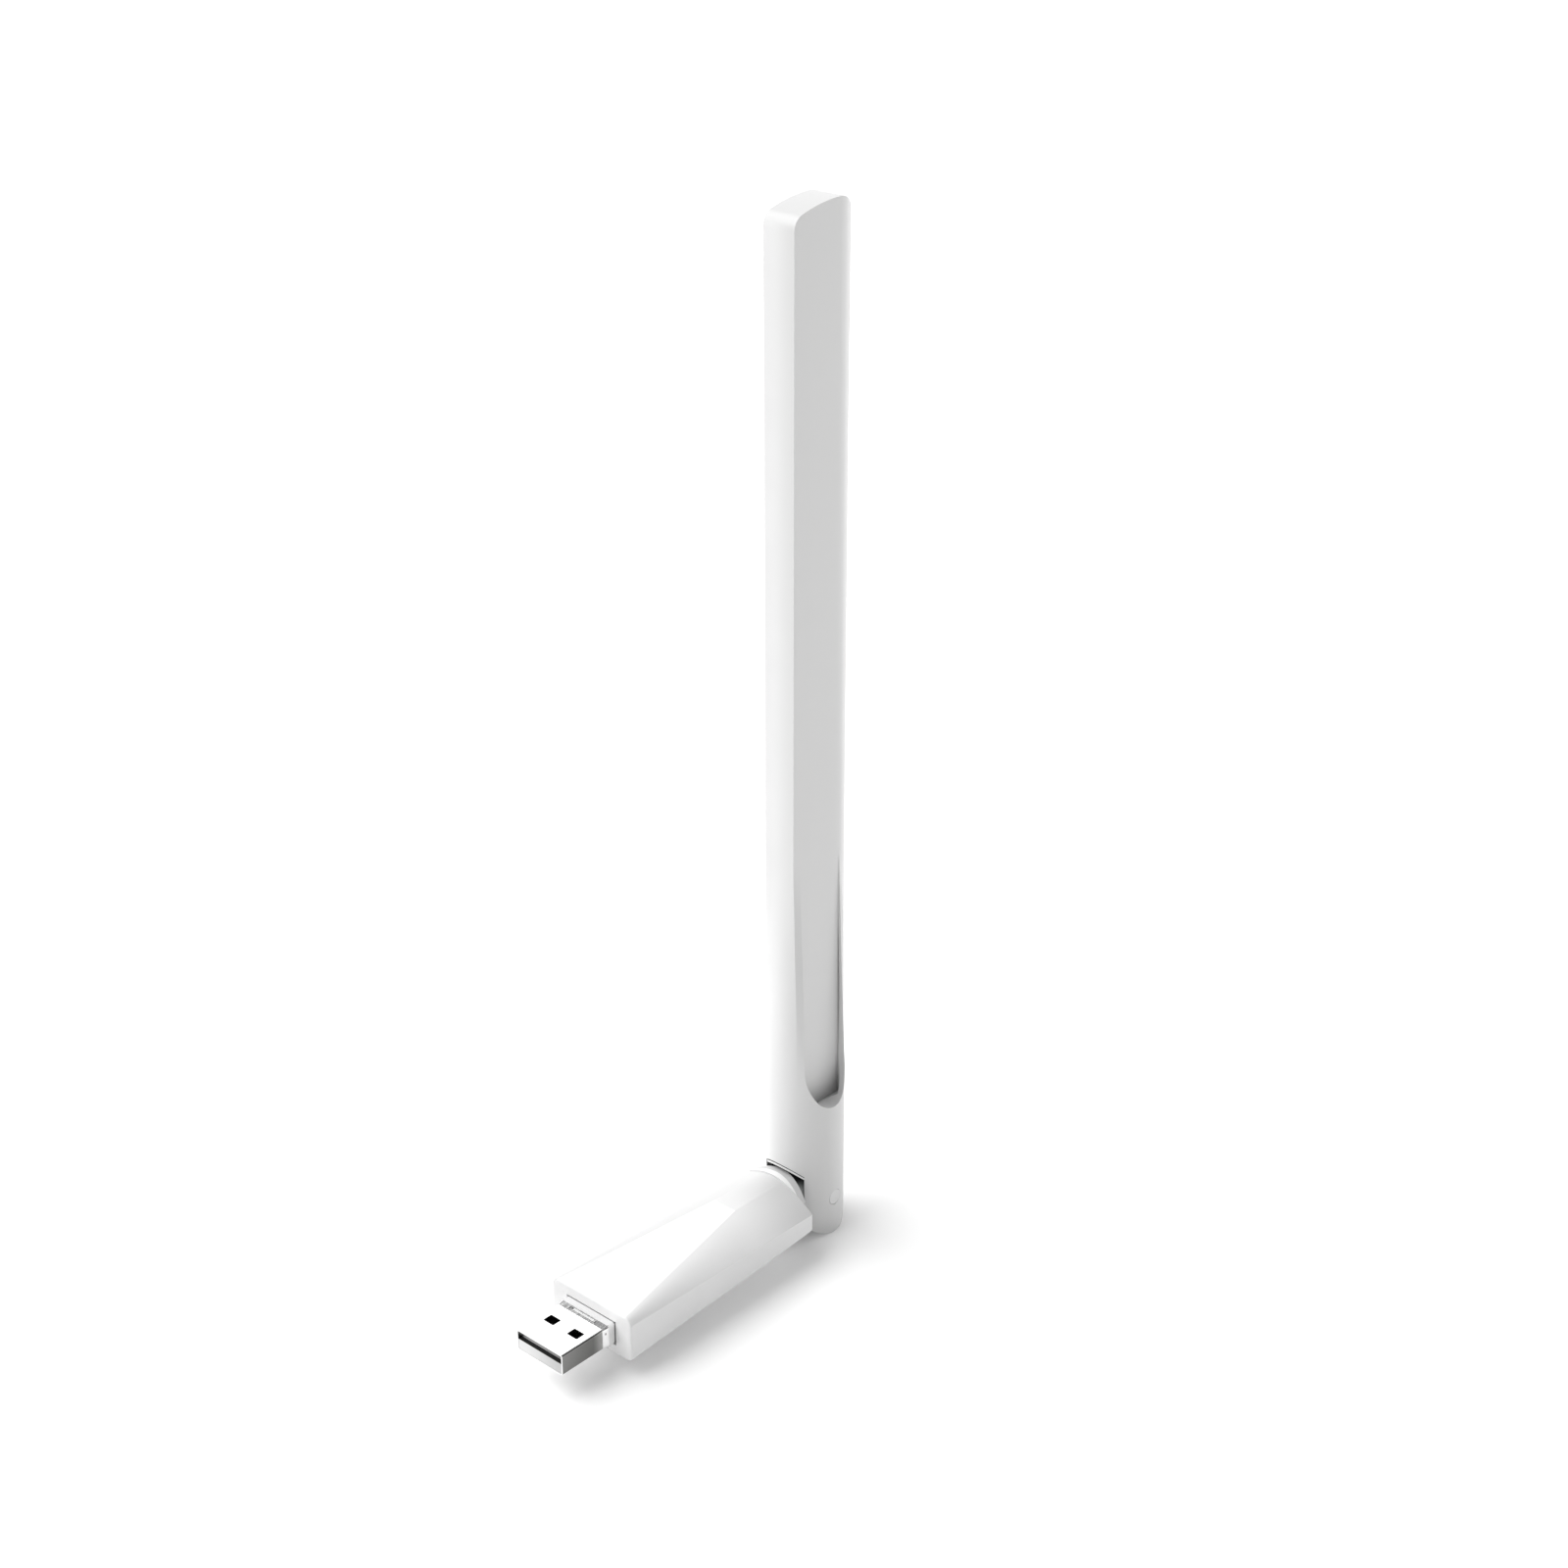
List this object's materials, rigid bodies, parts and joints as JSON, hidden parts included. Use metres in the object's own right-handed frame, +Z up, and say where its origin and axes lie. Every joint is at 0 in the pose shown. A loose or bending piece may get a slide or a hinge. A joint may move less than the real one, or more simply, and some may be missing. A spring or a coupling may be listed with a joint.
{
  "type": "usb wifi adapter",
  "caption": "White USB-A Wi-Fi adapter: tapered body with a sloping top and a tall flat blade antenna that folds on a friction hinge at the end opposite the plug.",
  "frame": {"origin": "centre of the USB plug's section where the plug leaves the body's front face", "axes": "+X runs from the plug towards the antenna hinge, +Y across the body, +Z up along the raised antenna"},
  "size_m": [0.0807, 0.021, 0.2057],
  "materials": {
    "white_plastic": "satin white moulding",
    "plated_steel": "bright plated sheet steel",
    "dark_plastic": "matt black",
    "gold_contact": "gold-plated",
    "board": "green solder mask",
    "ceramic": "fired ceramic",
    "led": "clear resin",
    "cable_jacket": "smooth black jacket",
    "copper": "bare copper",
    "foam": "open-cell foam"
  },
  "bodies": {
    "adapter": {"casing": "white_plastic", "bottom_cover": "white_plastic", "usb_shell": "plated_steel", "usb_insulator": "dark_plastic", "usb_contacts": "gold_contact", "main_board": "board", "shield_frame": "plated_steel", "shield_lid": "plated_steel", "wifi_chip": "dark_plastic", "crystal": "plated_steel", "flash_chip": "dark_plastic", "regulator": "dark_plastic", "inductor": "dark_plastic", "capacitors": "ceramic", "resistors": "dark_plastic", "status_led": "led", "coax_socket": "gold_contact", "coax_plug": "gold_contact", "coax_lead_body": "cable_jacket", "hinge_knuckle": "white_plastic"},
    "antenna": {"antenna_sleeve": "white_plastic", "hinge_yoke": "white_plastic", "pivot_pin": "plated_steel", "pivot_bush": "plated_steel", "pivot_caps": "white_plastic", "friction_washers": "dark_plastic", "antenna_board": "board", "dipole_arms": "copper", "foam_pads": "foam", "coax_lead_antenna": "cable_jacket"}
  },
  "joints": [
    {"name": "antenna_hinge", "type": "hinge", "parent": "adapter", "child": "antenna", "pos_m": [0.0599, 0, 0.0004], "axis": [0, 1, 0], "range_deg": [0, 180]}
  ]
}
